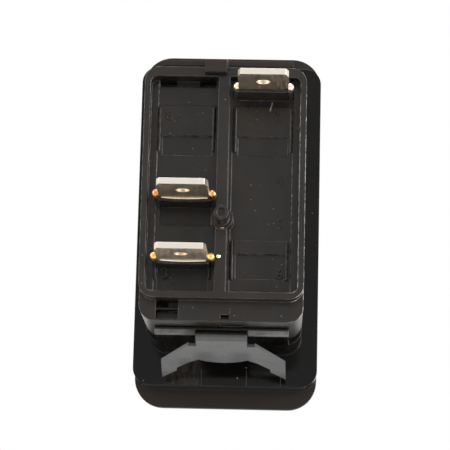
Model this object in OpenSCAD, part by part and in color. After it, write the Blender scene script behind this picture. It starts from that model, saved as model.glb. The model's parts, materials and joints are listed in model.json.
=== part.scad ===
// Panel rocker switch with a lamp. The front is -Y and the terminals point to +Y.
// The origin is in the middle of the face that seats on the panel. The long side runs along Z.

/* [Panel] */
// Width of the panel cut-out
cutout_w = 21.08; // [20.6:0.02:22]
// Length of the panel cut-out
cutout_l = 36.83; // [36.4:0.01:39]
// Gap between the cut-out and the skirt, all round
cutout_gap = 0.13; // [0.08:0.01:0.2]

/* [Bezel] */
// Width of the bezel
bezel_w = 25.4; // [25:0.1:28]
// Length of the bezel
bezel_l = 50.8; // [49:0.1:56]
// Radius of the bezel's corners
bezel_corner_r = 4; // [2:0.1:5]
// Thickness of the lip round the front
lip_t = 2; // [1.6:0.1:2.4]
// Bevel on the lip's front edge
lip_bevel = 0.8; // [0.4:0.1:1.2]
// Depth of the plinth between the lip and the panel
plinth_t = 4.4; // [4.2:0.1:5]
// Length of the plinth
plinth_l = 45.5; // [45:0.1:47]
// Radius of the plinth's corners
plinth_corner_r = 2.3; // [1:0.1:3]
// Thickness of the plinth's floor beside the skirt
plinth_floor_t = 0.8; // [0.5:0.1:0.9]

/* [Bracket] */
// Depth of the skirt behind the panel
skirt_d = 9; // [8:0.1:10]
// Wall of the skirt
skirt_wall = 1.15; // [0.9:0.05:1.3]
// Radius of the skirt's corners
skirt_corner_r = 2.2; // [1.6:0.1:3]
// Width of the two end arms
arm_w = 17.3; // [14:0.1:18]
// Thickness of the end arms
arm_t = 0.8; // [0.7:0.05:1]
// Reach of the end arms behind the panel
arm_reach = 18.1; // [17.8:0.1:19]
// Width of the latch hook
hook_w = 2.8; // [2:0.1:4]
// Middle of the latch hook across the arm
hook_x = 1.29; // [0:0.01:3]
// How far the hook holds over the rim
hook_bite = 0.85; // [0.4:0.05:1.1]

/* [Base] */
// Gap between the base and each end arm
base_gap = 0.085; // [0.05:0.005:0.2]
// Radius of the base's corners
base_corner_r = 2; // [1:0.1:2.4]
// Wall round the inside of the base
base_wall = 1.5; // [1.2:0.1:1.8]
// Length of the spigot that fits inside the skirt
spigot_d = 4.5; // [3:0.1:5]
// Gap of every sliding or pressed fit
fit_gap = 0.05; // [0.03:0.01:0.08]
// Distance from the panel to the floor of the terminal wells
well_floor_y = 22.5; // [21.8:0.1:23]
// Thickness of that floor
floor_t = 2; // [1.5:0.1:2.4]
// Height of the rim above the floor
rim_h = 2.3; // [1.8:0.1:3]
// Top end of the rim
rim_top_z = 15.38; // [15:0.01:16]
// Bottom end of the rim
rim_bottom_z = -14.76; // [-15.2:0.01:-14.2]
// Height of the lower flat above the floor
flat_h = 0.3; // [0.1:0.1:0.8]

/* [Terminals] */
// Width of a tab
tab_w = 6.35; // [4.75:0.05:6.35]
// Thickness of a tab
tab_t = 0.81; // [0.5:0.01:0.85]
// Distance from the panel to the tip of a tab
tab_tip_y = 33; // [31:0.1:36]
// Hole in a tab
tab_hole_d = 1.8; // [1.2:0.1:2]
// Distance of that hole from the tip
tab_hole_back = 3.35; // [2.5:0.05:4]
// Distance of each column of tabs from the middle
column_x = 4.88; // [4.7:0.01:5]
// Height of the middle row
row_common_z = -1.67; // [-2:0.01:-1.4]
// Distance from the middle row to the rows next to it
row_pitch = 8.06; // [7.8:0.01:8.3]
// Height of the lamp row
row_lamp_z = 12.46; // [12.2:0.01:12.6]

/* [Rocker] */
// Width of the rocker
rocker_w = 19.6; // [19:0.1:19.8]
// Radius of the rocker's ends about its pivot
rocker_end_r = 21.3; // [20.8:0.1:21.5]
// Gap beside and at the ends of the rocker
rocker_gap = 0.25; // [0.2:0.05:0.4]
// Depth of the pivot in front of the panel
pivot_front = 2.5; // [2.45:0.05:2.7]
// Radius of the trunnions
trunnion_r = 1.5; // [1.1:0.05:1.5]
// Length of each trunnion
trunnion_l = 1.6; // [1:0.1:1.8]
// Angle from the middle to either stop
rocker_tilt = 11; // [8:0.5:11]
// Height of the finger face in front of the panel at its middle
face_front = 7.9; // [7.7:0.1:8.5]
// Radius of the hollow finger face
face_r = 90; // [70:1:140]
// Wall of the rocker cap
cap_wall = 1.3; // [1.1:0.05:1.3]
// Width of the lens
lens_w = 6; // [4:0.1:8]
// Length of the lens
lens_l = 4.5; // [3:0.1:5]
// Height of the lens on the rocker
lens_z = 13.75; // [12.5:0.05:14]

/* [Contacts] */
// Distance from the panel to the fulcrum of the contact arm
fulcrum_y = 12.5; // [12.3:0.1:13]
// Tilt of the contact arm at either stop
arm_tilt = 4.4; // [3.5:0.1:4.4]
// Width of the contact arm
contact_arm_w = 4; // [3:0.1:4.4]
// Thickness of the contact arm
contact_arm_t = 0.5; // [0.4:0.05:0.6]
// Dish of the contact arm under the plunger
contact_arm_dish = 0.45; // [0.3:0.05:0.6]
// Distance of the contact from the fulcrum
contact_reach = 8; // [7.6:0.1:8.2]
// Radius of the moving contact
contact_r = 1.1; // [0.9:0.05:1.2]
// Height of the fixed contact's head
fixed_contact_t = 0.6; // [0.5:0.05:0.8]
// Radius of the plunger's nose
plunger_r = 1.2; // [1:0.05:1.3]
// Free space between the plunger and the arm at mid travel
plunger_clear = 0.25; // [0.2:0.05:0.4]

/* [Panel clips] */
// Thickness of the clip's sheet
clip_t = 0.4; // [0.3:0.05:0.5]
// Half width of the clip's strap
strap_half_w = 3.3; // [2.6:0.1:3.6]
// Half width over the clip's wings
wing_half_w = 8.4; // [7.6:0.1:8.6]
// Distance from the panel to the bend of the upper clip
upper_bend_y = 14.2; // [13:0.1:15]
// Distance from the panel to the wing tips
wing_tip_y = 3; // [2.2:0.1:4]
// Reach of the wing tips from the middle of the switch
wing_tip_z = 22.1; // [21:0.1:22.6]

/* [Lamp] */
// Thickness of the lamp board
board_t = 1; // [0.8:0.1:1.2]
// Lower end of the lamp board
board_low_z = 7.5; // [7:0.1:8]
// Radius of the lamp
lamp_r = 1.5; // [1:0.1:1.5]
// Radius of the lamp springs, to the middle of the wire
lamp_spring_r = 1.2; // [0.9:0.05:1.2]

/* [Hidden] */

corner_steps = 10;
eps = 0.01;
$fn = 48;

// Bezel and bracket
lip_rear_y = -plinth_t;
lip_front_y = lip_rear_y - lip_t;
skirt_w = cutout_w - 2 * cutout_gap;
skirt_l = cutout_l - 2 * cutout_gap;
passage_w = skirt_w - 2 * skirt_wall;
passage_l = skirt_l - 2 * skirt_wall;
arm_outer_z = skirt_l / 2;
arm_inner_z = arm_outer_z - arm_t;
opening_w = rocker_w + 2 * rocker_gap;
opening_l = 2 * (rocker_end_r + rocker_gap + 0.05);
opening_corner_r = 0.6;

// Base
base_w = skirt_w;
base_l = 2 * (arm_inner_z - base_gap);
base_bottom_z = -base_l / 2;
rim_y = well_floor_y + rim_h;
flat_y = well_floor_y + flat_h;
step_y = 17.5;
floor_front_y = well_floor_y - floor_t;
spigot_y = skirt_d - spigot_d;
cavity_w = base_w - 2 * base_wall;
cavity_l = base_l - 2 * base_wall;
rim_side_wall = 0.77;
rim_top_wall = 1.27;
rim_bottom_wall = 0.86;
rim_corner_r = 1.9;
well_w = base_w - 2 * rim_side_wall;
well_top_z = rim_top_z - rim_top_wall;
well_bottom_z = rim_bottom_z + rim_bottom_wall;
ledge_w = 0.95;
ledge_y = well_floor_y + 0.35;
guide_y = well_floor_y + 0.6;
pad_y = well_floor_y + 0.2;
recess_y = well_floor_y - 0.3;
deep_recess_y = well_floor_y - 1;
rib_x = [-0.55, 0.9];
rib_foot_x = -0.94;
post_x = 0.07;
post_z = -4.55;
post_tip_y = 28.6;
post_r = 0.9;
post_foot_r = 1.4;
post_dimple_r = 0.55;
boss_y = well_floor_y + 3.1;
boss_dip = 0.5;
boss_half_w = 3.25;
lamp_boss_y = well_floor_y + 3.9;
ear_y = [well_floor_y + 2.7, well_floor_y + 3.6];
ear_r = 0.5;
tip_bevel_l = 0.7;
tip_corner = 0.35;
row_ear_out = 0.4;
lamp_ear_out = 0.18;
tip_half_t = 0.46 * tab_t;

// Rows of terminals
row_switched_z = row_common_z - row_pitch;
row_blank_z = row_common_z + row_pitch;

// Rocker, in its middle position
pivot = [0, -pivot_front, 0];
face_center_y = -face_front - face_r;
cap_rear_y = -5.3;
cap_inner_w = rocker_w - 2 * cap_wall;
plate_gap = 0.1;
plate_front_y = -face_front + cap_wall + plate_gap;
plate_rear_y = -5;
plate_l = 34;
cheek_half_l = 3.2;
cheek_rear_y = -3.4;
boss_r = pivot_front - plinth_floor_t - fit_gap;
flange_front_y = plate_front_y - 0.7;
flange_rim = 0.7;
guide_w = 4;
guide_l = 3.4;
guide_rear_y = -4.6;

// Contact arm, measured from its fulcrum
fulcrum_r = tab_t / 2;
saddle_r = fulcrum_r + fit_gap;
arm_front = saddle_r + contact_arm_t;
arm_flat_half = 1.2;
arm_shoulder = 3;
arm_end_low = contact_reach + contact_r + 0.2;
arm_end_high = 8.2;
fulcrum = [column_x, fulcrum_y, 0];
dome_r = 3;
dome_standoff = 0.35;
contact_clear = 0.05;
fixed_face_y = fulcrum_y + contact_reach * sin(arm_tilt) + dome_r
    - (dome_r + dome_standoff) * cos(arm_tilt) + contact_clear;
foot_y = fixed_face_y + fixed_contact_t;
seat_y = foot_y + tab_t;
foot_w = 5;
rivet_r = 0.6;
jog_y = 16.5;

// Plunger, in the rocker's middle position
plunger_tip_y = fulcrum_y - arm_front - plunger_clear;
barrel_bore_r = plunger_r + 0.25;
barrel_r = barrel_bore_r + 0.75;
barrel_bottom_y = -4.5;
barrel_end_y = 4;
plunger_back_y = 1.9;
plunger_neck_y = 5.5;

// Panel clips, with w counted outward from the middle of the switch
clip_bend_r = 0.75;
clip_seat_w = arm_outer_z - clip_t - 0.1;
lower_bend_y = arm_reach + 0.6;
clip_bend_w = clip_seat_w + clip_bend_r;
clip_root_w = clip_bend_w + clip_bend_r;
clip_leg_y = skirt_d + 0.3;
clip_knee_y = 8;
clip_knee_w = 20.65;
notch_half_w = strap_half_w + 1;
notch_back = 3;
wing_root_back = 2.4;
wing_tab_w = 2.1;
wing_inner_y = wing_tip_y + 2.3;
wing_crook_y = wing_inner_y + 0.8;
strap_wing_y = 9.2;
strap_end_r = 4.6;

// Lamp
board_w = cavity_w + 0.2;
board_front_y = spigot_y - board_t;
board_top_z = cavity_l / 2 + 0.6;
lamp_spring_z = 10.8;
lamp_spring_wire_r = 0.2;
strip_t = 0.4;
strip_w = 2.5;
spring_pad = 1.5;
lamp_foot_w = 4;

function arc(cx, cz, r, a0, a1) =
    [for (i = [0:corner_steps])
        let (a = a0 + (a1 - a0) * i / corner_steps)
        [cx + r * cos(a), cz + r * sin(a)]];

module round_rect(w, l, r) {
    x = w / 2 - r;
    z = l / 2 - r;
    polygon(concat(
        arc(x, z, r, 0, 90), arc(-x, z, r, 90, 180),
        arc(-x, -z, r, 180, 270), arc(x, -z, r, 270, 360)));
}

// A shape drawn in X and Z, from y0 back to y1
module slab(y0, y1) {
    translate([0, y1, 0]) rotate([90, 0, 0]) linear_extrude(y1 - y0) children();
}

// A shape drawn in Y and Z, from x0 to x1
module across(x0, x1) {
    translate([x0, 0, 0]) rotate([90, 0, 90]) linear_extrude(x1 - x0) children();
}

// A block between two corners
module block(low, high) {
    translate(low) cube(high - low);
}

// A round bar along Y
module bar_y(x, z, r, y0, y1) {
    translate([x, y1, z]) rotate([90, 0, 0]) cylinder(r = r, h = y1 - y0);
}

// A round bar along X
module bar_x(y, z, r, x0, x1) {
    translate([x0, y, z]) rotate([0, 90, 0]) cylinder(r = r, h = x1 - x0);
}

// Round wire wound about the Y axis, from y0 to y1
module coil_y(r, wire_r, turns, y0, y1) {
    sides = 6;
    steps = turns * 16;
    rise = (y1 - y0 - 2 * wire_r) / steps;
    points = [for (i = [0:steps], j = [0:sides - 1])
        let (a = 360 * i / 16, b = 360 * j / sides, d = r + wire_r * cos(b))
        [d * cos(a), y0 + wire_r + rise * i + wire_r * sin(b), d * sin(a)]];
    sweep = [for (i = [0:steps - 1], j = [0:sides - 1])
        let (k = (j + 1) % sides)
        [i * sides + j, i * sides + k, (i + 1) * sides + k, (i + 1) * sides + j]];
    first_cap = [[for (j = [sides - 1:-1:0]) j]];
    last_cap = [[for (j = [0:sides - 1]) steps * sides + j]];
    polyhedron(points, concat(sweep, first_cap, last_cap), convexity = 10);
}

module rocker_rest() {
    translate(pivot) rotate([-rocker_tilt, 0, 0]) translate(-pivot) children();
}

module contact_arm_rest() {
    translate(fulcrum) rotate([arm_tilt, 0, 0]) children();
}

// ---- Bezel and bracket ----

module lip() {
    slab(lip_front_y + lip_bevel, lip_rear_y) round_rect(bezel_w, bezel_l, bezel_corner_r);
    hull() {
        slab(lip_front_y + lip_bevel, lip_front_y + lip_bevel + eps)
            round_rect(bezel_w, bezel_l, bezel_corner_r);
        slab(lip_front_y, lip_front_y + eps)
            round_rect(bezel_w - 2 * lip_bevel, bezel_l - 2 * lip_bevel, bezel_corner_r - lip_bevel);
    }
}

// End arm on the upper side, with the pocket for the leg of a clip that bends at bend_y
module end_arm(bend_y) {
    pocket_end_y = bend_y < arm_reach ? bend_y + fit_gap : arm_reach + 1;
    difference() {
        block([-arm_w / 2, 0, arm_inner_z], [arm_w / 2, arm_reach, arm_outer_z]);
        block([-strap_half_w - fit_gap, clip_leg_y - fit_gap, clip_seat_w],
              [strap_half_w + fit_gap, pocket_end_y, arm_outer_z + 1]);
    }
}

module latch_hook() {
    tooth_y = rim_y + fit_gap;
    tooth_end_y = tooth_y + 1;
    across(hook_x - hook_w / 2, hook_x + hook_w / 2) polygon([
        [arm_reach - 1, arm_inner_z],
        [arm_reach, arm_inner_z],
        [step_y + 2, rim_top_z + 0.25],
        [tooth_y, rim_top_z + 0.15],
        [tooth_y, rim_top_z - hook_bite],
        [tooth_end_y, rim_top_z - hook_bite - 0.1],
        [tooth_end_y, rim_top_z + 0.7],
        [arm_reach, arm_outer_z],
        [arm_reach - 1, arm_outer_z]]);
}

module bezel_frame() {
    color([0.11, 0.1, 0.1]) difference() {
        union() {
            lip();
            slab(lip_rear_y - eps, 0) round_rect(bezel_w, plinth_l, plinth_corner_r);
            slab(-eps, skirt_d) round_rect(skirt_w, skirt_l, skirt_corner_r);
            end_arm(upper_bend_y);
            mirror([0, 0, 1]) end_arm(lower_bend_y);
            latch_hook();
        }
        slab(lip_front_y - 1, -plinth_floor_t) round_rect(opening_w, opening_l, opening_corner_r);
        slab(-plinth_floor_t - 1, skirt_d + 1)
            round_rect(passage_w, passage_l, skirt_corner_r - skirt_wall);
        for (side = [-1, 1]) {
            bar_x(-pivot_front, 0, trunnion_r + fit_gap,
                  side > 0 ? 0 : -rocker_w / 2 - trunnion_l - 0.1,
                  side > 0 ? rocker_w / 2 + trunnion_l + 0.1 : 0);
        }
    }
}

// ---- Base ----

module base_shell() {
    slab(spigot_y, skirt_d + eps)
        round_rect(passage_w - 2 * fit_gap, passage_l - 2 * fit_gap, skirt_corner_r - skirt_wall);
    slab(skirt_d, step_y) round_rect(base_w, base_l, base_corner_r);
    slab(step_y - eps, flat_y)
        translate([0, (rim_top_z + base_bottom_z) / 2])
        round_rect(base_w, rim_top_z - base_bottom_z, base_corner_r);
    slab(flat_y - eps, rim_y)
        translate([0, (rim_top_z + rim_bottom_z) / 2])
        round_rect(base_w, rim_top_z - rim_bottom_z, rim_corner_r);
}

module base_cavity() {
    cavity_top_z = rim_top_z - base_wall;
    slab(spigot_y - 1, step_y - base_wall) round_rect(cavity_w, cavity_l, 1);
    slab(step_y - base_wall - eps, floor_front_y)
        translate([0, (cavity_top_z - cavity_l / 2) / 2])
        round_rect(cavity_w, cavity_top_z + cavity_l / 2, 1);
}

module terminal_well() {
    slab(well_floor_y, rim_y + 1)
        translate([0, (well_top_z + well_bottom_z) / 2])
        round_rect(well_w, well_top_z - well_bottom_z, 0.9);
}

// Walls, ledges and pads that stand on the floor of the wells
module well_features() {
    root_y = well_floor_y - eps;
    block([rib_x[0], root_y, well_bottom_z - eps], [rib_x[1], rim_y, well_top_z + eps]);
    block([rib_foot_x, root_y, well_bottom_z - eps], [rib_x[0] + eps, ledge_y, well_top_z + eps]);
    for (side = [-1, 1])
        block([side > 0 ? well_w / 2 - ledge_w : -well_w / 2 - eps, root_y, well_bottom_z - eps],
              [side > 0 ? well_w / 2 + eps : -well_w / 2 + ledge_w, ledge_y, well_top_z + eps]);
    // pads of the blank rows
    for (side = [-1, 1])
        block([side * column_x - 3.6, root_y, row_blank_z + 0.4],
              [side * column_x + 3.6, pad_y, row_blank_z + 4.4]);
    block([-column_x - 3.5, root_y, row_switched_z + 1.1],
          [-column_x + 3.5, pad_y, row_switched_z + 2.8]);
    // guide ribs beside the blank rows and the lower rows
    for (rib = [[8.5, 4.7, 10.4], [1.5, 4.7, 10.4], [-1.3, 4.7, 10.4], [-8.5, 4.7, 10.4],
                [8.5, -12, -9.5], [1.6, -12, -9.5], [-1.2, -12, -7], [-8.2, -12, -7]])
        block([rib[0] - 0.12, root_y, rib[1]], [rib[0] + 0.12, guide_y, rib[2]]);
}

// Mound of the floor that a tab stands in, dished across its top
module tab_mound(x, z, top_y, dip) {
    dish_r = dip > 0 ? (boss_half_w * boss_half_w + dip * dip) / (2 * dip) : 1;
    difference() {
        block([x - boss_half_w, well_floor_y - eps, z - tab_t], [x + boss_half_w, top_y, z + tab_t]);
        if (dip > 0)
            translate([x, top_y - dip + dish_r, z - 2 * tab_t]) cylinder(r = dish_r, h = 4 * tab_t, $fn = 120);
    }
}

module tab_mounds() {
    tab_mound(column_x, row_common_z, boss_y, boss_dip);
    tab_mound(column_x, row_switched_z, boss_y, boss_dip);
    tab_mound(-column_x, row_lamp_z, lamp_boss_y, 0);
}

module keying_post() {
    bar_y(post_x, post_z, post_foot_r, well_floor_y - eps, rim_y + 0.1);
    bar_y(post_x, post_z, post_r, rim_y, post_tip_y);
}

// Cuts in the wells and in the lower flat
module rear_cuts() {
    bar_y(post_x, post_z, post_dimple_r, post_tip_y - 0.35, post_tip_y + 1);
    // empty slot of the lamp row, with the block that stands in it
    difference() {
        block([column_x - 3.58, deep_recess_y - 0.8, well_top_z - 0.8],
              [column_x + 3.67, well_floor_y + 1, well_top_z]);
        block([column_x - 1.48, deep_recess_y - 1, well_top_z - 1], [column_x + 1.52, recess_y, well_top_z + 1]);
    }
    // recesses below the pads of the blank rows
    for (side = [-1, 1])
        block([side * column_x - 3.2, recess_y, row_blank_z - 2.2],
              [side * column_x + 3.2, well_floor_y + eps, row_blank_z + 0.3]);
    block([-column_x - 3.2, recess_y, row_switched_z - 2.1],
          [-column_x + 3.2, well_floor_y + eps, row_switched_z + 1]);
    // deeper recesses below the tabs of the left column
    block([column_x - 3.3, deep_recess_y, row_common_z - 3.4],
          [column_x + 3.3, well_floor_y + eps, row_common_z - tab_t]);
    block([column_x - 3.1, deep_recess_y, well_bottom_z + 0.4],
          [column_x + 3.3, well_floor_y + eps, row_switched_z - tab_t]);
    // window in the lower flat, with a thin bar across it
    difference() {
        block([5.4, flat_y - 2.6, -17.15], [8.24, flat_y + 1, rim_bottom_z]);
        block([5, flat_y - 3, -15.85], [9, flat_y - 0.9, -15.6]);
    }
    // small notch at the edge of the flat
    block([-1.06, flat_y - 1.5, -17.1], [0.03, flat_y + 1, -16.55]);
    // recess in the lower end wall, opposite the latch hook
    block([-hook_x - hook_w / 2, 18.4, base_bottom_z - 1], [-hook_x + hook_w / 2, 21, base_bottom_z + 0.4]);
}

module terminal_slot(x, z) {
    gap = 2 * fit_gap;
    block([x - (tab_w + gap) / 2, floor_front_y - 1, z - (tab_t + gap) / 2],
          [x + (tab_w + gap) / 2, lamp_boss_y + 1, z + (tab_t + gap) / 2]);
}

// Pillars that carry the feet of the terminals
module pillars() {
    back_y = floor_front_y + eps;
    block([column_x - 2.3, seat_y, row_switched_z + 0.5], [column_x + 1.3, back_y, row_switched_z + 3.1]);
    block([column_x - 2.3, jog_y + tab_t, row_common_z + 0.6], [column_x + 2.3, back_y, row_common_z + 2]);
    block([column_x - 1.3, seat_y + strip_t, lamp_spring_z - 1.2],
          [column_x + 3.5, back_y, lamp_spring_z + 1.2]);
    block([-column_x - 2, seat_y + tab_t, lamp_spring_z - 1.4],
          [-column_x + 2, back_y, row_lamp_z - tab_t]);
}

module base_housing() {
    color([0.16, 0.15, 0.14]) difference() {
        union() {
            difference() {
                base_shell();
                base_cavity();
                terminal_well();
            }
            well_features();
            tab_mounds();
            keying_post();
            pillars();
        }
        rear_cuts();
        terminal_slot(column_x, row_common_z);
        terminal_slot(column_x, row_switched_z);
        terminal_slot(-column_x, row_lamp_z);
    }
}

// ---- Terminals ----

// Tab with a bevelled tip, a hole and two staked ears, from y0 back
module tab(y0, ear_out) {
    half = tab_w / 2;
    half_t = tab_t / 2;
    difference() {
        union() {
            intersection() {
                translate([0, 0, -tab_t]) linear_extrude(2 * tab_t) polygon([
                    [-half, y0], [half, y0], [half, tab_tip_y - 1], [half - tip_corner, tab_tip_y],
                    [-half + tip_corner, tab_tip_y], [-half, tab_tip_y - 1]]);
                across(-half, half) polygon([
                    [y0, -half_t], [tab_tip_y - tip_bevel_l, -half_t], [tab_tip_y, -tip_half_t],
                    [tab_tip_y, tip_half_t], [tab_tip_y - tip_bevel_l, half_t], [y0, half_t]]);
            }
            for (side = [-1, 1]) {
                bar_y(side * (half + ear_out), 0, ear_r, ear_y[0], ear_y[1]);
                translate([side * (half + ear_out), ear_y[1], 0]) sphere(ear_r, $fn = 24);
            }
        }
        translate([0, tab_tip_y - tab_hole_back, -tab_t]) cylinder(d = tab_hole_d, h = 2 * tab_t);
    }
}

// Common terminal, jogged to the fulcrum that the contact arm rocks on
module terminal_common() {
    color([0.78, 0.74, 0.63]) union() {
        translate([column_x, 0, row_common_z]) tab(jog_y + eps, row_ear_out);
        block([column_x - foot_w / 2, jog_y, row_common_z - fulcrum_r],
              [column_x + foot_w / 2, jog_y + tab_t, fulcrum_r]);
        block([column_x - foot_w / 2, fulcrum_y, -fulcrum_r], [column_x + foot_w / 2, jog_y + eps, fulcrum_r]);
        bar_x(fulcrum_y, 0, fulcrum_r, column_x - foot_w / 2, column_x + foot_w / 2);
    }
}

// Switched terminal, with a foot that carries the fixed contact
module terminal_switched() {
    color([0.78, 0.74, 0.63]) difference() {
        union() {
            translate([column_x, 0, row_switched_z]) tab(foot_y, row_ear_out);
            block([column_x - foot_w / 2, foot_y, row_switched_z - tab_t / 2],
                  [column_x + foot_w / 2, seat_y, row_switched_z + 3.3]);
        }
        bar_y(column_x, -contact_reach, rivet_r + fit_gap, foot_y - 1, seat_y + 1);
    }
}

// Lamp terminal, with a foot that the return spring stands on
module terminal_lamp() {
    color([0.8, 0.77, 0.68]) union() {
        translate([-column_x, 0, row_lamp_z]) tab(seat_y, lamp_ear_out);
        block([-column_x - lamp_foot_w / 2, seat_y, lamp_spring_z - spring_pad],
              [-column_x + lamp_foot_w / 2, seat_y + tab_t, row_lamp_z]);
    }
}

module fixed_contact() {
    color([0.85, 0.85, 0.84]) union() {
        bar_y(column_x, -contact_reach, contact_r + 0.2, fixed_face_y, foot_y);
        bar_y(column_x, -contact_reach, rivet_r, foot_y - eps, seat_y);
    }
}

// ---- Lamp ----

module lamp_board() {
    color([0.15, 0.35, 0.2])
        block([-board_w / 2, board_front_y, board_low_z], [board_w / 2, spigot_y, board_top_z]);
}

module lamp_led() {
    dome_y = board_front_y - 1.8;
    color([0.9, 0.9, 0.85]) union() {
        bar_y(0, lens_z, lamp_r, dome_y, board_front_y);
        bar_y(0, lens_z, lamp_r + 0.3, board_front_y - 0.5, board_front_y);
        translate([0, dome_y, lens_z]) sphere(lamp_r);
    }
}

module lamp_resistor() {
    body_r = 0.9;
    lead_r = 0.25;
    body_x = [-7.2, -3.2];
    lead_x = [-8, -2.4];
    body_y = board_front_y - body_r;
    body_z = board_low_z + 2;
    color([0.72, 0.62, 0.45]) union() {
        bar_x(body_y, body_z, body_r, body_x[0], body_x[1]);
        bar_x(body_y, body_z, lead_r, lead_x[0], lead_x[1]);
        for (x = lead_x) {
            bar_y(x, body_z, lead_r, body_y, board_front_y);
            translate([x, body_y, body_z]) sphere(lead_r, $fn = 24);
        }
    }
}

// Strip that takes the supply from the switched terminal up to the lamp board
module lamp_feed_strip() {
    wall_x = cavity_w / 2;
    low_z = row_switched_z + 0.5;
    top_z = lamp_spring_z + spring_pad;
    color([0.8, 0.65, 0.35]) union() {
        block([wall_x - strip_t, seat_y, low_z], [wall_x, seat_y + strip_w, top_z]);
        block([column_x + spring_pad, seat_y, low_z], [wall_x, seat_y + strip_t, low_z + strip_w]);
        block([column_x - spring_pad, seat_y, lamp_spring_z - spring_pad], [wall_x, seat_y + strip_t, top_z]);
    }
}

module lamp_spring(x) {
    color([0.75, 0.75, 0.75]) translate([x, 0, lamp_spring_z])
        coil_y(lamp_spring_r, lamp_spring_wire_r, 8, spigot_y + 0.02, seat_y - 0.02);
}

module lamp_feed_spring() {
    lamp_spring(column_x);
}

module lamp_return_spring() {
    lamp_spring(-column_x);
}

// ---- Panel clips ----

// Side view of the outer leg, as y and the outward distance w, for a bend that ends at bend_y
module clip_band(bend_y) {
    start_y = bend_y - clip_bend_r;
    polygon([
        [start_y, clip_root_w], [clip_knee_y, clip_knee_w], [wing_tip_y, wing_tip_z],
        [wing_tip_y, wing_tip_z - clip_t], [clip_knee_y, clip_knee_w - clip_t], [start_y, clip_root_w - clip_t]]);
}

// Plan of the strap, which ends in an arc, and of its two wings
module clip_plan(bend_y) {
    end_angle = asin(strap_half_w / strap_end_r);
    strap_end = [for (i = [0:6])
        let (a = end_angle * (1 - i / 6))
        [strap_end_r * sin(a), clip_knee_y + strap_end_r * (1 - cos(a))]];
    half = concat([
        [0, bend_y], [strap_half_w, bend_y], [strap_half_w, bend_y - notch_back],
        [notch_half_w, bend_y - notch_back], [notch_half_w, bend_y - wing_root_back],
        [wing_half_w - 0.1, clip_knee_y], [wing_half_w, wing_tip_y],
        [wing_half_w - wing_tab_w, wing_inner_y], [wing_half_w - wing_tab_w, wing_crook_y],
        [strap_half_w + 0.05, strap_wing_y]], strap_end);
    polygon(half);
    mirror([1, 0]) polygon(half);
}

// Hairpin clip on the upper arm: a leg in the arm's pocket, a bend and a sprung outer leg
module panel_clip(bend_y) {
    center_y = bend_y - clip_bend_r;
    intersection() {
        across(-wing_half_w - 1, wing_half_w + 1) clip_band(bend_y);
        linear_extrude(wing_tip_z + 1) clip_plan(bend_y);
    }
    difference() {
        bar_x(center_y, clip_bend_w, clip_bend_r, -strap_half_w, strap_half_w);
        bar_x(center_y, clip_bend_w, clip_bend_r - clip_t, -strap_half_w - 1, strap_half_w + 1);
        block([-strap_half_w - 1, center_y - 2, clip_bend_w - 2], [strap_half_w + 1, center_y, clip_bend_w + 2]);
    }
    block([-strap_half_w, clip_leg_y, clip_seat_w], [strap_half_w, center_y + eps, clip_seat_w + clip_t]);
}

module panel_clip_upper() {
    color([0.6, 0.6, 0.6]) panel_clip(upper_bend_y);
}

module panel_clip_lower() {
    color([0.6, 0.6, 0.6]) mirror([0, 0, 1]) panel_clip(lower_bend_y);
}

// ---- Rocker ----

// Space between the finger face, moved back by depth, and rear_y, with round ends
module rocker_form(w, end_r, depth, rear_y) {
    difference() {
        intersection() {
            bar_x(-pivot_front, 0, end_r, -w / 2, w / 2, $fn = 96);
            block([-w, -face_front - 8, -end_r], [w, rear_y, end_r]);
        }
        bar_x(face_center_y, 0, face_r + depth, -w, w, $fn = 180);
    }
}

module rocker_cap() {
    color([0.1, 0.09, 0.09]) rocker_rest() difference() {
        rocker_form(rocker_w, rocker_end_r, 0, cap_rear_y);
        rocker_form(cap_inner_w, rocker_end_r - cap_wall, cap_wall, cap_rear_y + 1);
        block([-lens_w / 2 - fit_gap, -face_front - 5, lens_z - lens_l / 2 - fit_gap],
              [lens_w / 2 + fit_gap, cap_rear_y, lens_z + lens_l / 2 + fit_gap]);
    }
}

module lens_window() {
    color([0.85, 0.8, 0.7]) rocker_rest() union() {
        difference() {
            block([-lens_w / 2, -face_front - 5, lens_z - lens_l / 2],
                  [lens_w / 2, flange_front_y + eps, lens_z + lens_l / 2]);
            bar_x(face_center_y, 0, face_r, -lens_w, lens_w, $fn = 180);
        }
        block([-lens_w / 2 - flange_rim, flange_front_y, lens_z - lens_l / 2 - flange_rim],
              [lens_w / 2 + flange_rim, plate_front_y - fit_gap, lens_z + lens_l / 2 + flange_rim]);
    }
}

module light_guide() {
    color([0.9, 0.9, 0.9]) rocker_rest()
        block([-guide_w / 2, plate_front_y, lens_z - guide_l / 2],
              [guide_w / 2, guide_rear_y, lens_z + guide_l / 2]);
}

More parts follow.
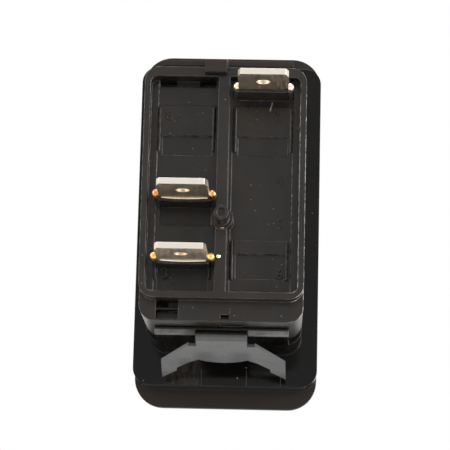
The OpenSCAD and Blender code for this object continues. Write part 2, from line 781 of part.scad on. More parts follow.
// Carrier with the trunnions and the plunger's barrel
module rocker_actuator() {
    plate_w = cap_inner_w - 2 * plate_gap;
    color([0.75, 0.74, 0.7]) rocker_rest() difference() {
        union() {
            block([-plate_w / 2, plate_front_y, -plate_l / 2], [plate_w / 2, plate_rear_y, plate_l / 2]);
            for (side = [-1, 1]) {
                inner_x = side > 0 ? rocker_w / 2 - 2 : -rocker_w / 2;
                block([inner_x, cap_rear_y + fit_gap, -cheek_half_l],
                      [inner_x + 2, cheek_rear_y, cheek_half_l]);
                block([inner_x, cheek_rear_y - eps, -boss_r], [inner_x + 2, -pivot_front, boss_r]);
                bar_x(-pivot_front, 0, boss_r, inner_x, inner_x + 2);
                bar_x(-pivot_front, 0, trunnion_r,
                      side > 0 ? rocker_w / 2 - 1 : -rocker_w / 2 - trunnion_l,
                      side > 0 ? rocker_w / 2 + trunnion_l : -rocker_w / 2 + 1);
            }
            bar_y(column_x, 0, barrel_r, plate_front_y + 0.3, barrel_end_y);
        }
        bar_y(column_x, 0, barrel_bore_r, barrel_bottom_y, barrel_end_y + 1);
        block([-guide_w / 2 - fit_gap, plate_front_y - 1, lens_z - guide_l / 2 - fit_gap],
              [guide_w / 2 + fit_gap, plate_rear_y + 1, lens_z + guide_l / 2 + fit_gap]);
    }
}

module plunger() {
    nose_y = plunger_tip_y - plunger_r;
    color([0.85, 0.83, 0.78]) rocker_rest() union() {
        bar_y(column_x, 0, barrel_bore_r - fit_gap, plunger_back_y, plunger_neck_y);
        bar_y(column_x, 0, plunger_r, plunger_neck_y - eps, nose_y);
        translate([column_x, nose_y, 0]) sphere(plunger_r);
    }
}

module plunger_spring() {
    color([0.75, 0.75, 0.75]) rocker_rest() translate([column_x, 0, 0])
        coil_y(barrel_bore_r - 0.3, 0.15, 8, barrel_bottom_y + 0.02, plunger_back_y - 0.02);
}

// ---- Contacts ----

// Strip with a dished middle and a saddle that sits on the fulcrum
module contact_arm() {
    rise = contact_arm_dish;
    half = contact_arm_w / 2;
    color([0.8, 0.6, 0.3]) contact_arm_rest() difference() {
        union() {
            across(-half, half) polygon([
                [-arm_front, -arm_flat_half], [-arm_front - rise, -arm_shoulder],
                [-arm_front - rise, -arm_end_low], [-saddle_r - rise, -arm_end_low],
                [-saddle_r - rise, -arm_shoulder], [-saddle_r, -arm_flat_half],
                [-saddle_r, arm_flat_half], [-saddle_r - rise, arm_shoulder],
                [-saddle_r - rise, arm_end_high], [-arm_front - rise, arm_end_high],
                [-arm_front - rise, arm_shoulder], [-arm_front, arm_flat_half]]);
            block([-half, -saddle_r - eps, -arm_flat_half], [half, 0.1, arm_flat_half]);
        }
        bar_x(0, 0, saddle_r, -half - 1, half + 1);
    }
}

module moving_contact() {
    face = saddle_r + contact_arm_dish;
    color([0.85, 0.85, 0.84]) contact_arm_rest() intersection() {
        bar_y(0, -contact_reach, contact_r, -face, 1);
        translate([0, -dome_standoff - dome_r, -contact_reach]) sphere(dome_r, $fn = 64);
    }
}

bezel_frame();
base_housing();
terminal_common();
terminal_switched();
terminal_lamp();
fixed_contact();
lamp_board();
lamp_led();
lamp_resistor();
lamp_feed_strip();
lamp_feed_spring();
lamp_return_spring();
panel_clip_lower();
panel_clip_upper();
rocker_actuator();
rocker_cap();
lens_window();
light_guide();
plunger();
plunger_spring();
contact_arm();
moving_contact();
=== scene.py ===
"""Looks of the panel rocker switch: materials, small moulded details, lights and the camera.

Lengths are in millimetres in the part's own frame and turned into metres by MM.
+Y points to the terminals, +Z up the long side, and the rocker faces -Y.
"""

import json
import math

import bmesh
import bpy
from mathutils import Matrix, Vector, noise


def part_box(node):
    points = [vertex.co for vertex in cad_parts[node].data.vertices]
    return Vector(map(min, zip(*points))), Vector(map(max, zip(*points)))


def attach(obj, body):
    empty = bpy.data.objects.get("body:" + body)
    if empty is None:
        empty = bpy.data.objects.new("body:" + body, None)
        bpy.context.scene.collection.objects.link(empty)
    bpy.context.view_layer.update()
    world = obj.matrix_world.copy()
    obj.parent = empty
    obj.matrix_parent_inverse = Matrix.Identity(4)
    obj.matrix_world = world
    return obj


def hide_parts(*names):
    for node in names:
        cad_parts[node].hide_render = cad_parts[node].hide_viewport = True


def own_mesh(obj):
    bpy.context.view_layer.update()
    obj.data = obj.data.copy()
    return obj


MM = 0.001

# ---- Places taken from the frame ----

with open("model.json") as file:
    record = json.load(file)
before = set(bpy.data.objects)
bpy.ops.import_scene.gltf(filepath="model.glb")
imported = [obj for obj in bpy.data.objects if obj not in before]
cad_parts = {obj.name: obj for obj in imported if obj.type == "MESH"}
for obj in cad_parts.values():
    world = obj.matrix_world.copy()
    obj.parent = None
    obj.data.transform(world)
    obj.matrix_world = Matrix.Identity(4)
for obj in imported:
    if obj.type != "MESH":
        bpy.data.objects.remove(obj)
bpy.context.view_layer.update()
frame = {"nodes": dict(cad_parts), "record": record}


def node_box(name):
    """Lowest and highest corner of a CAD node, in millimetres."""
    low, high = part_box(name)
    return Vector(low) / MM, Vector(high) / MM


# the tip of the housing's post stands this far above the wells' floor
POST_HEIGHT = 6.1
FLOOR_Y = node_box("base_housing")[1].y - POST_HEIGHT
# where the mounts of the record put the tips of the three tabs, in millimetres
TABS = {
    mount["name"]: Vector(mount["pos_m"]) / MM
    for mount in frame["record"]["mounts"] if mount["name"].startswith("tab_")}
# height of the middle of the two tabs that stand in dished mounds
ROWS = {"terminal_common": TABS["tab_2"].z, "terminal_switched": TABS["tab_3"].z}


# ---- Shader helpers ----

NOISE_ROUGHNESS = 0.55
PLAIN_SPECULAR = 0.5


class Shader:
    """A material with one Principled shader, and short calls that add nodes to it."""

    def __init__(self, name, color, rough, metallic=0.0, specular=PLAIN_SPECULAR):
        self.material = bpy.data.materials.new(name)
        self.material.use_nodes = True
        self.tree = self.material.node_tree
        self.bsdf = self.tree.nodes["Principled BSDF"]
        self.bsdf.inputs["Base Color"].default_value = (*color, 1)
        self.bsdf.inputs["Roughness"].default_value = rough
        self.bsdf.inputs["Metallic"].default_value = metallic
        self.bsdf.inputs["Specular IOR Level"].default_value = specular
        self.material.diffuse_color = (*color, 1)
        coords = self.node("ShaderNodeTexCoord").outputs["Object"]
        scale = self.node("ShaderNodeVectorMath", operation="SCALE")
        scale.inputs["Scale"].default_value = 1 / MM
        self.link(coords, scale.inputs[0])
        self.place = scale.outputs[0]
        self.height = None

    def node(self, kind, **settings):
        made = self.tree.nodes.new(kind)
        for key, value in settings.items():
            setattr(made, key, value)
        return made

    def link(self, source, target):
        self.tree.links.new(source, target)

    def stretched(self, stretch):
        """The place in millimetres, scaled along each axis."""
        made = self.node("ShaderNodeVectorMath", operation="MULTIPLY")
        made.inputs[1].default_value = stretch
        self.link(self.place, made.inputs[0])
        return made.outputs[0]

    def noise(self, per_mm, detail, stretch=(1, 1, 1)):
        made = self.node("ShaderNodeTexNoise")
        made.inputs["Scale"].default_value = per_mm
        made.inputs["Detail"].default_value = detail
        made.inputs["Roughness"].default_value = NOISE_ROUGHNESS
        self.link(self.stretched(stretch), made.inputs["Vector"])
        return made.outputs["Fac"]

    def ramp(self, source, low, high, out_low=0.0, out_high=1.0):
        """Maps low..high to out_low..out_high and holds the ends."""
        made = self.node("ShaderNodeMapRange", clamp=True)
        made.interpolation_type = "SMOOTHSTEP"
        made.inputs["From Min"].default_value = low
        made.inputs["From Max"].default_value = high
        made.inputs["To Min"].default_value = out_low
        made.inputs["To Max"].default_value = out_high
        self.link(source, made.inputs["Value"])
        return made.outputs["Result"]

    def math(self, operation, a, b):
        made = self.node("ShaderNodeMath", operation=operation)
        for socket, value in zip(made.inputs, (a, b)):
            if isinstance(value, (int, float)):
                socket.default_value = value
            else:
                self.link(value, socket)
        return made.outputs[0]

    def axis(self, letter):
        made = self.node("ShaderNodeSeparateXYZ")
        self.link(self.place, made.inputs[0])
        return made.outputs[letter]

    def window(self, letter, low, high, soft=0.1):
        """1 where the place lies between low and high along an axis, 0 outside."""
        value = self.axis(letter)
        rise = self.ramp(value, low - soft, low + soft)
        fall = self.ramp(value, high - soft, high + soft, 1.0, 0.0)
        return self.math("MULTIPLY", rise, fall)

    def mix(self, factor, first, second):
        made = self.node("ShaderNodeMix", data_type="RGBA")
        self.link(factor, made.inputs["Factor"])
        for socket, value in ((made.inputs["A"], first), (made.inputs["B"], second)):
            if isinstance(value, tuple):
                socket.default_value = (*value, 1)
            else:
                self.link(value, socket)
        return made.outputs["Result"]

    def color(self):
        """The colour made so far: a socket, or a tuple where it is still uniform."""
        socket = self.bsdf.inputs["Base Color"]
        if socket.is_linked:
            return socket.links[0].from_socket
        return tuple(socket.default_value)[:3]

    def tint(self, factor, color):
        """Blends the colour made so far towards another one."""
        self.link(self.mix(factor, self.color(), color), self.bsdf.inputs["Base Color"])

    def set_rough(self, source):
        self.link(source, self.bsdf.inputs["Roughness"])

    def bump(self, height, depth_mm):
        made = self.node("ShaderNodeBump")
        made.inputs["Strength"].default_value = 1.0
        made.inputs["Distance"].default_value = depth_mm * MM
        self.link(height, made.inputs["Height"])
        if self.height is not None:
            self.link(self.height, made.inputs["Normal"])
        self.height = made.outputs["Normal"]
        self.link(self.height, self.bsdf.inputs["Normal"])

    def round_edges(self, radius_mm):
        """Lets light catch the edges as it does on a small fillet."""
        made = self.node("ShaderNodeBevel", samples=8)
        made.inputs["Radius"].default_value = radius_mm * MM
        facing = self.node("ShaderNodeVectorMath", operation="DOT_PRODUCT")
        self.link(made.outputs["Normal"], facing.inputs[0])
        self.link(self.node("ShaderNodeNewGeometry").outputs["Normal"], facing.inputs[1])
        self.edges = self.ramp(facing.outputs["Value"], 0.7, 0.99, 1.0, 0.0)
        self.height = made.outputs["Normal"]
        self.link(self.height, self.bsdf.inputs["Normal"])

    def specks(self, per_mm, share, size):
        """1 on small scattered specks: share of the cells hold one."""
        cells = self.node("ShaderNodeTexVoronoi")
        cells.inputs["Scale"].default_value = per_mm
        self.link(self.place, cells.inputs["Vector"])
        near = self.ramp(cells.outputs["Distance"], size * 0.4, size, 1.0, 0.0)
        split = self.node("ShaderNodeSeparateColor")
        self.link(cells.outputs["Color"], split.inputs[0])
        chosen = self.ramp(split.outputs[0], share, share + 0.01, 1.0, 0.0)
        return self.math("MULTIPLY", near, chosen)

    def scratch(self, start, end, width):
        """1 along a fine line in X and Z, from start to end."""
        run = Vector((end[0] - start[0], end[1] - start[1]))
        length = run.length
        run.normalize()
        from_x = self.math("SUBTRACT", self.axis("X"), start[0])
        from_z = self.math("SUBTRACT", self.axis("Z"), start[1])
        along = self.math("ADD", self.math("MULTIPLY", from_x, run.x), self.math("MULTIPLY", from_z, run.y))
        across = self.math("SUBTRACT", self.math("MULTIPLY", from_x, run.y), self.math("MULTIPLY", from_z, run.x))
        near = self.ramp(self.math("ABSOLUTE", across, 0), width * 0.4, width, 1.0, 0.0)
        begun = self.ramp(along, 0, 0.2)
        ended = self.ramp(along, length - 0.2, length, 1.0, 0.0)
        return self.math("MULTIPLY", near, self.math("MULTIPLY", begun, ended))


def dress(name, material):
    """Gives a CAD node its material."""
    obj = frame["nodes"][name]
    obj.data.materials.clear()
    obj.data.materials.append(material)


# ---- Materials ----


def black_plastic(name, color, rough, grain, dust, edge=0.14, specular=PLAIN_SPECULAR):
    """Moulded black plastic: soft colour drift, fine grain, dust specks and rounded edges."""
    sh = Shader(name, color, rough, specular=specular)
    sh.round_edges(edge)
    drift = sh.noise(0.22, 3)
    warm = tuple(c * f for c, f in zip(color, (1.6, 1.4, 1.25)))
    sh.tint(sh.ramp(drift, 0.3, 0.8), warm)
    sh.set_rough(sh.ramp(sh.noise(0.3, 2), 0.2, 0.8, rough - 0.04, rough + 0.04))
    sh.tint(sh.specks(1.7, dust, 0.13), (0.3, 0.27, 0.24))
    sh.bump(sh.noise(5.0, 3), grain)
    return sh


def base_material():
    """Satin black, a little greyer along the moulding's flow lines, with one scratch and painted highlights along
    the edges.
    """
    sh = black_plastic(
        "base_plastic", (0.0105, 0.0085, 0.0068), 0.3, grain=0.0015, dust=0.14, edge=0.18, specular=0.35)
    flow = sh.noise(0.5, 2, stretch=(1, 1, 0.12))
    sh.tint(sh.ramp(flow, 0.5, 0.8, 0, 0.4), (0.02, 0.0175, 0.015))
    sh.tint(sh.scratch((-6.05, 11.5), (-5.72, 10.1), 0.09), (0.34, 0.3, 0.24))
    # painted highlights along the edges: broken bright lines, strongest along the outer sides
    broken = sh.ramp(sh.noise(1.1, 4, stretch=(1, 1, 1.6)), 0.4, 0.62)
    outer = sh.ramp(sh.math("ABSOLUTE", sh.axis("X"), 0), 8.2, 8.6, 0.35, 1.0)
    edge_glint = sh.math("MULTIPLY", sh.edges, broken)
    outer_edge_glint = sh.math("MULTIPLY", edge_glint, outer)
    sh.tint(sh.math("MULTIPLY", outer_edge_glint, 0.85), (0.34, 0.32, 0.3))
    # painted highlights on the edges of the -X side are palest, less so near the top
    left_side_glint = sh.math("MULTIPLY", edge_glint, sh.ramp(sh.axis("X"), -8.9, -8.7, 1.0, 0.0))
    less_at_top = sh.ramp(sh.axis("Z"), 10.5, 12.0, 0.9, 0.2)
    sh.tint(sh.math("MULTIPLY", left_side_glint, less_at_top), (0.75, 0.73, 0.7))
    return sh.material


def bezel_material():
    """Glossy skirt and flange, satin lip and end arms, rougher end walls behind the lip with painted shade, a
    painted highlight along the lower arm's rear edge, and a lighter brown patch.
    """
    box_low, _ = node_box("bezel_frame")
    sh = black_plastic(
        "bezel_plastic", (0.003, 0.0026, 0.0024), 0.12, grain=0.0008, dust=0.05, edge=0.22, specular=0.17)
    lip = sh.ramp(sh.axis("Y"), box_low.y + 1.9, box_low.y + 2.2, 1.0, 0.0)
    sh.tint(lip, (0.023, 0.018, 0.015))
    arms = sh.ramp(sh.axis("Y"), 16, 17)
    sh.tint(arms, (0.025, 0.019, 0.0155))
    # painted highlight along the rear edge of the lower end arm
    lower_arm_glint = sh.math("MULTIPLY", arms, sh.ramp(sh.axis("Z"), -17.85, -17.7, 1.0, 0.0))
    uneven = sh.ramp(sh.noise(0.8, 3), 0.3, 0.6, 0.5, 1.0)
    sh.tint(sh.math("MULTIPLY", lower_arm_glint, uneven), (0.16, 0.16, 0.16))
    far = sh.math("ABSOLUTE", sh.axis("Z"), 0)
    plinth_end = sh.math("MULTIPLY", sh.ramp(far, 22.55, 22.7), sh.window("Y", -4.3, -0.15, 0.05))
    # a lighter brown patch low on the bezel, broken up by noise
    brown_patch = sh.math("MULTIPLY", sh.window("X", 3.4, 8.2, 0.4), sh.window("Z", -23.0, -18.5, 0.3))
    brown_patch = sh.math("MULTIPLY", brown_patch, sh.ramp(sh.noise(1.0, 4, stretch=(1.6, 1, 0.6)), 0.3, 0.7))
    sh.tint(sh.math("MULTIPLY", brown_patch, 0.8), (0.026, 0.021, 0.017))
    for x in (3.2, -3.0, -7.7):
        sh.tint(sh.scratch((x, -22.9), (x, -20.5), 0.06), (0.035, 0.032, 0.03))
    gloss = sh.ramp(sh.noise(0.35, 4), 0.35, 0.75, 0.08, 0.16)
    satin = sh.math("MAXIMUM", sh.math("MAXIMUM", lip, arms), plinth_end)
    # painted shade: the plinth's end walls are darkened almost to black
    sh.tint(plinth_end, (0.001, 0.001, 0.001))
    rough = sh.math("ADD", gloss, sh.math("MULTIPLY", satin, 0.34))
    sh.set_rough(sh.math("ADD", rough, sh.math("MULTIPLY", plinth_end, 0.4)))
    return sh.material


def tab_material(name, ear_color, column_x, half_w, tip_y):
    """Tinned brass: brushed along the blade, with staked ears in another tone."""
    sh = Shader(name, (0.82, 0.69, 0.52), 0.34, metallic=1.0)
    sh.round_edges(0.08)
    sh.tint(sh.ramp(sh.noise(0.9, 5), 0.4, 0.7, 0, 0.6), (0.7, 0.56, 0.4))
    sh.tint(sh.ramp(sh.noise(4.5, 3), 0.5, 0.75, 0, 0.5), (0.9, 0.84, 0.72))
    streak = sh.noise(1.2, 3, stretch=(3, 0.4, 3))
    sh.set_rough(sh.ramp(streak, 0.3, 0.7, 0.28, 0.42))
    sh.tint(sh.ramp(sh.axis("Y"), tip_y - 0.25, tip_y - 0.1), (0.76, 0.7, 0.6))
    away = sh.math("ABSOLUTE", sh.math("SUBTRACT", sh.axis("X"), column_x), 0)
    sh.tint(sh.ramp(away, half_w, half_w + 0.1), ear_color)
    sh.bump(sh.noise(4.0, 3), 0.004)
    return sh.material


def clip_material():
    """Rolled spring steel, with painted shade in and beside the middle of the strap, over the strap's front half,
    on the left wing and at the clip's front end.
    """
    sh = Shader("clip_steel", (0.097, 0.097, 0.095), 0.34, metallic=1.0)
    sh.round_edges(0.06)
    smear = sh.noise(0.6, 4, stretch=(1.6, 0.3, 1))
    sh.tint(sh.ramp(smear, 0.45, 0.75, 0, 0.5), (0.08, 0.08, 0.08))
    beside = sh.math("ABSOLUTE", sh.axis("X"), 0)
    # painted shade on the curved strap, in and beside its middle
    strap_shade = sh.math("MULTIPLY", sh.ramp(beside, 0.4, 2.0), sh.ramp(beside, 2.8, 4.2, 1.0, 0.0))
    strap_shade = sh.math("MULTIPLY", strap_shade, sh.window("Y", 7.0, 13.0, 1.6))
    sh.tint(sh.math("MULTIPLY", strap_shade, 0.9), (0.03, 0.03, 0.03))
    strap = sh.ramp(beside, 3.3, 4.5, 1.0, 0.0)
    # painted shade over the front half of the strap
    front_half_shade = sh.ramp(sh.axis("Y"), 8.5, 14.5, 0.5, 0.0)
    sh.tint(sh.math("MULTIPLY", strap, front_half_shade), (0.04, 0.04, 0.04))
    # painted shade on the left wing next to the strap
    left_wing_shade = sh.math("MULTIPLY", sh.window("X", 3.4, 6.0, 0.5), sh.window("Y", 6.0, 9.8, 1.0))
    sh.tint(sh.math("MULTIPLY", left_wing_shade, 0.8), (0.045, 0.045, 0.045))
    # painted shade towards the clip's front end
    sh.tint(sh.ramp(sh.axis("Y"), 3.5, 6.0, 0.75, 0.0), (0.025, 0.025, 0.025))
    fine = sh.noise(3.5, 3, stretch=(4, 0.5, 1))
    sh.set_rough(sh.ramp(fine, 0.3, 0.7, 0.3, 0.44))
    sh.bump(fine, 0.002)
    return sh.material


def metal(name, color, rough, streaks=2.0):
    sh = Shader(name, color, rough, metallic=1.0)
    wear = sh.noise(streaks, 4)
    darker = tuple(c * 0.7 for c in color)
    sh.tint(sh.ramp(wear, 0.45, 0.75, 0, 0.8), darker)
    sh.set_rough(sh.ramp(wear, 0.3, 0.7, rough - 0.08, rough + 0.12))
    sh.bump(sh.noise(6.0, 2), 0.003)
    return sh.material


def pale_plastic(name, color, rough):
    sh = Shader(name, color, rough)
    sh.round_edges(0.08)
    sh.bsdf.inputs["Subsurface Weight"].default_value = 0.15
    sh.bsdf.inputs["Subsurface Scale"].default_value = 0.4 * MM
    darker = tuple(c * 0.85 for c in color)
    sh.tint(sh.ramp(sh.noise(0.5, 3), 0.4, 0.8), darker)
    sh.set_rough(sh.ramp(sh.noise(1.5, 3), 0.3, 0.7, rough - 0.06, rough + 0.08))
    sh.bump(sh.noise(5.0, 2), 0.003)
    return sh.material


def clear_plastic(name, color, transmission, rough):
    sh = Shader(name, color, rough)
    sh.bsdf.inputs["Transmission Weight"].default_value = transmission
    sh.bsdf.inputs["IOR"].default_value = 1.49
    cloud = tuple(c * 0.9 for c in color)
    sh.tint(sh.ramp(sh.noise(0.8, 3), 0.4, 0.8), cloud)
    sh.set_rough(sh.ramp(sh.noise(1.2, 3), 0.3, 0.7, rough, rough + 0.1))
    sh.bump(sh.noise(3.0, 2), 0.004)
    return sh.material


def board_material():
    """Green laminate with copper tracks under the mask."""
    sh = Shader("board_laminate", (0.02, 0.11, 0.04), 0.38)
    weave = sh.noise(3.0, 2, stretch=(1, 1, 4))
    sh.tint(sh.ramp(weave, 0.4, 0.7, 0, 0.5), (0.035, 0.16, 0.06))
    track = sh.window("Z", 10.4, 11.2, 0.05)
    sh.tint(sh.math("MULTIPLY", track, 0.6), (0.12, 0.3, 0.1))
    sh.set_rough(sh.ramp(weave, 0.3, 0.7, 0.3, 0.45))
    sh.bump(weave, 0.01)
    return sh.material


def resistor_material():
    """Tan lacquer with four plain colour bands, and tinned leads."""
    low, high = node_box("lamp_resistor")
    middle = (low.x + high.x) / 2
    sh = Shader("resistor_lacquer", (0.55, 0.42, 0.24), 0.32)
    half_band = 0.16
    half_body = 2.0
    bands = (
        (-1.3, (0.25, 0.02, 0.01)), (-0.6, (0.02, 0.02, 0.3)),
        (0.1, (0.12, 0.05, 0.02)), (1.2, (0.6, 0.4, 0.1)))
    for offset, color in bands:
        sh.tint(sh.window("X", middle + offset - half_band, middle + offset + half_band, 0.03), color)
    away = sh.math("ABSOLUTE", sh.math("SUBTRACT", sh.axis("X"), middle), 0)
    lead = sh.ramp(away, half_body, half_body + 0.03)
    sh.tint(lead, (0.7, 0.7, 0.68))
    sh.link(lead, sh.bsdf.inputs["Metallic"])
    sh.set_rough(sh.ramp(sh.noise(2.0, 3), 0.3, 0.7, 0.25, 0.4))
    sh.bump(sh.noise(2.5, 2), 0.01)
    return sh.material


def add_plunger_coil(material):
    """The plunger's spring as a piece that rides on the plunger."""
    solid = frame["nodes"]["plunger_spring"]
    coil = bpy.data.objects.new("plunger_coil", solid.data.copy())
    bpy.context.scene.collection.objects.link(coil)
    coil.data.materials.clear()
    coil.data.materials.append(material)
    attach(coil, "plunger")
    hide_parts("plunger_spring")
    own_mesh(coil)


def dress_nodes():
    tab_box = node_box("terminal_common")
    column = (tab_box[0].x + tab_box[1].x) / 2
    # just past half the width of a blade, so that only the ears take the other tone
    half_w = 3.19
    tip_y = tab_box[1].y
    copper = (0.72, 0.32, 0.14)
    gold = (0.8, 0.52, 0.16)
    cream = (0.85, 0.76, 0.55)
    dress("bezel_frame", bezel_material())
    dress("base_housing", base_material())
    dress("terminal_common", tab_material("tab_common", copper, column, half_w, tip_y))
    dress("terminal_switched", tab_material("tab_switched", gold, column, half_w, tip_y))
    dress("terminal_lamp", tab_material("tab_lamp", cream, -column, half_w, tip_y))
    spring_steel = clip_material()
    for name in ("panel_clip_lower", "panel_clip_upper"):
        dress(name, spring_steel)
    silver = metal("contact_silver", (0.8, 0.79, 0.76), 0.25)
    for name in ("fixed_contact", "moving_contact"):
        dress(name, silver)
    wire = metal("spring_wire", (0.5, 0.5, 0.5), 0.3, 4.0)
    for name in ("lamp_feed_spring", "lamp_return_spring", "plunger_spring"):
        dress(name, wire)
    add_plunger_coil(wire)
    strip = metal("strip_brass", (0.75, 0.52, 0.24), 0.32)
    for name in ("lamp_feed_strip", "contact_arm"):
        dress(name, strip)
    dress("lamp_board", board_material())
    dress("lamp_resistor", resistor_material())
    dress("lamp_led", clear_plastic("lamp_resin", (0.9, 0.88, 0.8), 0.7, 0.08))
    dress("light_guide", clear_plastic("guide_acrylic", (0.92, 0.92, 0.92), 0.8, 0.05))
    dress("lens_window", clear_plastic("lens_amber", (0.85, 0.62, 0.3), 0.35, 0.18))
    cap = black_plastic("rocker_plastic", (0.012, 0.011, 0.011), 0.4, grain=0.012, dust=0.03)
    dress("rocker_cap", cap.material)
    dress("rocker_actuator", pale_plastic("actuator_nylon", (0.62, 0.6, 0.54), 0.45))
    dress("plunger", pale_plastic("plunger_acetal", (0.8, 0.78, 0.72), 0.3))


# ---- Small moulded and soldered details ----

NUMERAL_HEIGHT = 1.3
# a digit of the built-in font is this share of the font's size
DIGIT_SHARE = 0.7
# the numerals beside the top tab stand on low pads
PADS_FROM_Z = 8
PAD_HEIGHT = 0.2
# bead along the foot of a tab: middle above the wells' floor, rise towards its ends, thickness
BEAD_HALF_LENGTH = 2.9
BEAD_HEIGHT = 2.72
BEAD_RISE = 0.38
BEAD_RADIUS = 0.13
BEAD_STEPS = 24


def add_piece(name, mesh, material):
    """A new piece that rides on the housing."""
    obj = bpy.data.objects.new(name, mesh)
    bpy.context.scene.collection.objects.link(obj)
    mesh.materials.clear()
    mesh.materials.append(material)
    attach(obj, "housing")


def numeral_mesh(text, x, y, z, height):
    """A raised digit on a face that looks to +Y, upright along +Z."""
    curve = bpy.data.curves.new("numeral", "FONT")
    curve.body = text
    curve.size = height / DIGIT_SHARE * MM
    curve.align_x = "CENTER"
    curve.align_y = "CENTER"
    curve.extrude = 0.05 * MM
    curve.bevel_depth = 0.015 * MM
    curve.resolution_u = 4
    holder = bpy.data.objects.new("numeral", curve)
    bpy.context.scene.collection.objects.link(holder)
    mesh = bpy.data.meshes.new_from_object(holder)
    bpy.data.objects.remove(holder)
    bpy.data.curves.remove(curve)
    mesh.transform(Matrix((
        (-1, 0, 0, x * MM),
        (0, 0, 1, y * MM),
        (0, 1, 0, z * MM),
        (0, 0, 0, 1))))
    return mesh


def tube_mesh(name, points, radius):
    """A round bead along points, in millimetres, with tapered ends."""
    sides = 10
    mesh = bpy.data.meshes.new(name)
    build = bmesh.new()
    rings = []
    last = len(points) - 1
    for i, point in enumerate(points):
        ahead = (Vector(points[min(i + 1, last)]) - Vector(points[max(i - 1, 0)])).normalized()
        side = ahead.cross(Vector((0, 0, 1))).normalized()
        lift = side.cross(ahead)
        r = radius * (0.15 + 0.85 * math.sin(math.pi * (i + 0.5) / (last + 1)) ** 0.4)
        ring = []
        for k in range(sides):
            a = 2 * math.pi * k / sides
            ring.append(build.verts.new((Vector(point) + (side * math.cos(a) + lift * math.sin(a)) * r) * MM))
        rings.append(ring)
    for first, second in zip(rings, rings[1:]):
        for k in range(sides):
            build.faces.new((first[k], first[(k + 1) % sides], second[(k + 1) % sides], second[k]))
    build.faces.new(list(reversed(rings[0])))
    build.faces.new(rings[-1])
    bmesh.ops.recalc_face_normals(build, faces=build.faces)
    for face in build.faces:
        face.smooth = True
    build.to_mesh(mesh)
    build.free()
    return mesh


def blob_mesh(name, place, radii, seed):
    """A small uneven drop."""
    mesh = bpy.data.meshes.new(name)
    build = bmesh.new()
    bmesh.ops.create_icosphere(build, subdivisions=3, radius=1)
    for vert in build.verts:
        wobble = 1 + 0.14 * noise.noise(vert.co * 1.6 + Vector((seed, 0, 0)))
        vert.co = (Vector(place) + Vector(c * r * wobble for c, r in zip(vert.co, radii))) * MM
    for face in build.faces:
        face.smooth = True
    build.to_mesh(mesh)
    build.free()
    return mesh


def add_details():
    raised = base_material()
    left, right = TABS["tab_2"].x, TABS["tab_7"].x
    top, middle, low_row = TABS["tab_7"].z, TABS["tab_2"].z, TABS["tab_3"].z
    for text, x, z in (
            ("1", left + 1.1, top - 3.6), ("8", left + 2.4, top - 3.1), ("7", right - 1.7, top - 3.3),
            ("4", right - 2.3, middle + 2.6), ("5", right - 2.3, middle - 3.1),
            ("6", right - 2.4, low_row - 1.5), ("3", left + 2.4, low_row - 1.5)):
        y = FLOOR_Y + (PAD_HEIGHT if z > PADS_FROM_Z else 0.0) + 0.03
        add_piece("numeral_" + text, numeral_mesh(text, x, y, z, NUMERAL_HEIGHT), raised)
    solder = metal("solder", (0.82, 0.78, 0.68), 0.26, 3.0)
    for name, node in (("bead_row_2", "terminal_common"), ("bead_row_3", "terminal_switched")):
        low, high = node_box(node)
        x = (low.x + high.x) / 2
        z = ROWS[node]
        points = []
        for i in range(BEAD_STEPS + 1):
            u = 2 * i / BEAD_STEPS - 1
            points.append((x + BEAD_HALF_LENGTH * u, FLOOR_Y + BEAD_HEIGHT + BEAD_RISE * u * u, z - 0.45))
        add_piece(name, tube_mesh(name, points, BEAD_RADIUS), solder)
    silver = metal("solder_silver", (0.86, 0.86, 0.86), 0.2, 3.0)
    drop = blob_mesh("drop_silver", (0.42, FLOOR_Y + 2.4, -9.45), (0.34, 0.26, 0.3), 3.1)
    add_piece("drop_silver", drop, silver)
    # painted reflection: a small copper-coloured bead at the foot of the post stands in for a glint of copper
    copper = metal("copper_glint_metal", (0.75, 0.36, 0.18), 0.3, 3.0)
    copper_glint = blob_mesh("copper_glint_bead", (0.0, FLOOR_Y + 2.35, -5.75), (0.3, 0.08, 0.12), 7.7)
    add_piece("copper_glint_bead", copper_glint, copper)


# ---- Camera, lights and floor ----

# angles in degrees, lengths in millimetres; azimuth 0 looks along +Y, and 180 looks back along -Y
CAMERA_AZIMUTH = 181.808
CAMERA_ELEVATION = -11.897
CAMERA_ROLL = 1.402
CAMERA_TARGET = (0.449, 0, -0.151)
CAMERA_DISTANCE = 260.16
CAMERA_FIELD = 13.8136
SENSOR_WIDTH = 36
FLOOR_Z = -190
FLOOR_HALF_METRES = 3


def look_matrix(place, target, roll_deg=0.0):
    """The matrix of a camera or light at place whose -Z axis points at target."""
    forward = (Vector(target) - Vector(place)).normalized()
    right = forward.cross(Vector((0, 0, 1))).normalized()
    up = right.cross(forward)
    roll = math.radians(roll_deg)
    tilted_right = right * math.cos(roll) + up * math.sin(roll)
    tilted_up = up * math.cos(roll) - right * math.sin(roll)
    turn = Matrix((tilted_right, tilted_up, -forward)).transposed().to_4x4()
    return Matrix.Translation(Vector(place)) @ turn


def add_camera():
    azimuth, elevation = math.radians(CAMERA_AZIMUTH), math.radians(CAMERA_ELEVATION)
    target = Vector(CAMERA_TARGET) * MM
    distance = CAMERA_DISTANCE * MM
    away = Vector((
        math.sin(azimuth) * math.cos(elevation),
        -math.cos(azimuth) * math.cos(elevation),
        math.sin(elevation)))
    data = bpy.data.cameras.new("camera")
    data.sensor_width = SENSOR_WIDTH
    data.lens = SENSOR_WIDTH / 2 / math.tan(math.radians(CAMERA_FIELD) / 2)
    data.clip_start = 0.01
    camera = bpy.data.objects.new("camera", data)
    bpy.context.scene.collection.objects.link(camera)
    camera.matrix_world = look_matrix(target + away * distance, target, CAMERA_ROLL)
    bpy.context.scene.camera = camera


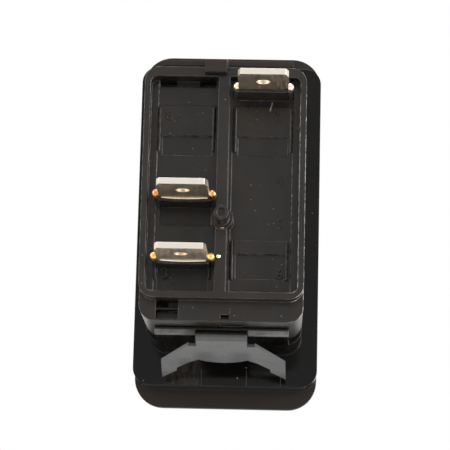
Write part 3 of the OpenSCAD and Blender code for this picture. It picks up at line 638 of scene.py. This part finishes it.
def add_light(name, place, size, watts):
    """A white rectangular lamp at place, in metres, turned towards the part."""
    data = bpy.data.lights.new(name, "AREA")
    data.shape = "RECTANGLE"
    data.size, data.size_y = size
    data.energy = watts
    light = bpy.data.objects.new(name, data)
    bpy.context.scene.collection.objects.link(light)
    light.matrix_world = look_matrix(place, (0, 0.01, 0))


def add_lights():
    add_light("overhead", (0.0, 0.1, 0.5), (0.4, 0.3), 1.6)
    add_light("left_strip", (0.42, 0.14, 0.08), (0.16, 0.34), 1.1)
    add_light("right_strip", (-0.4, 0.14, 0.0), (0.26, 0.42), 3.2)


def add_world():
    """White for camera, glossy and transmission rays; other rays get soft light, brighter from +Y."""
    world = bpy.data.worlds.new("world")
    bpy.context.scene.world = world
    world.use_nodes = True
    tree = world.node_tree
    tree.nodes.clear()

    def link(source, target):
        tree.links.new(source, target)

    def larger(first, second):
        made = tree.nodes.new("ShaderNodeMath")
        made.operation = "MAXIMUM"
        link(first, made.inputs[0])
        link(second, made.inputs[1])
        return made.outputs[0]

    coords = tree.nodes.new("ShaderNodeTexCoord").outputs["Generated"]
    split = tree.nodes.new("ShaderNodeSeparateXYZ")
    link(coords, split.inputs[0])
    rear = tree.nodes.new("ShaderNodeMapRange")
    rear.interpolation_type = "SMOOTHSTEP"
    for name, value in (("From Min", 0.1), ("From Max", 0.8), ("To Min", 0.85), ("To Max", 1.3)):
        rear.inputs[name].default_value = value
    link(split.outputs["Y"], rear.inputs["Value"])
    surround = tree.nodes.new("ShaderNodeBackground")
    link(rear.outputs["Result"], surround.inputs["Strength"])
    white = tree.nodes.new("ShaderNodeBackground")
    white.inputs["Color"].default_value = (1, 1, 1, 1)
    mix = tree.nodes.new("ShaderNodeMixShader")
    path = tree.nodes.new("ShaderNodeLightPath")
    seen = larger(path.outputs["Is Camera Ray"], path.outputs["Is Glossy Ray"])
    link(larger(seen, path.outputs["Is Transmission Ray"]), mix.inputs[0])
    link(surround.outputs[0], mix.inputs[1])
    link(white.outputs[0], mix.inputs[2])
    link(mix.outputs[0], tree.nodes.new("ShaderNodeOutputWorld").inputs[0])


def add_floor():
    """A pale floor for camera, glossy and transmission rays, and a darker one for the light that it sends up."""
    floor_z = FLOOR_Z * MM
    mesh = bpy.data.meshes.new("floor")
    half = FLOOR_HALF_METRES
    mesh.from_pydata(
        [(-half, -half, floor_z), (half, -half, floor_z), (half, half, floor_z), (-half, half, floor_z)],
        [], [(0, 1, 2, 3)])
    floor = bpy.data.objects.new("floor", mesh)
    bpy.context.scene.collection.objects.link(floor)
    sh = Shader("floor_paper", (0.1, 0.1, 0.1), 0.9)
    sh.tint(sh.ramp(sh.axis("Y"), -380, 60), (0.5, 0.5, 0.5))
    path = sh.node("ShaderNodeLightPath")
    for ray in ("Is Camera Ray", "Is Glossy Ray", "Is Transmission Ray"):
        sh.tint(path.outputs[ray], (0.8, 0.8, 0.8))
    sh.bump(sh.noise(0.3, 2), 0.02)
    mesh.materials.append(sh.material)


dress_nodes()
add_details()
add_camera()
add_lights()
add_world()
add_floor()
bpy.context.scene.view_settings.view_transform = "Standard"
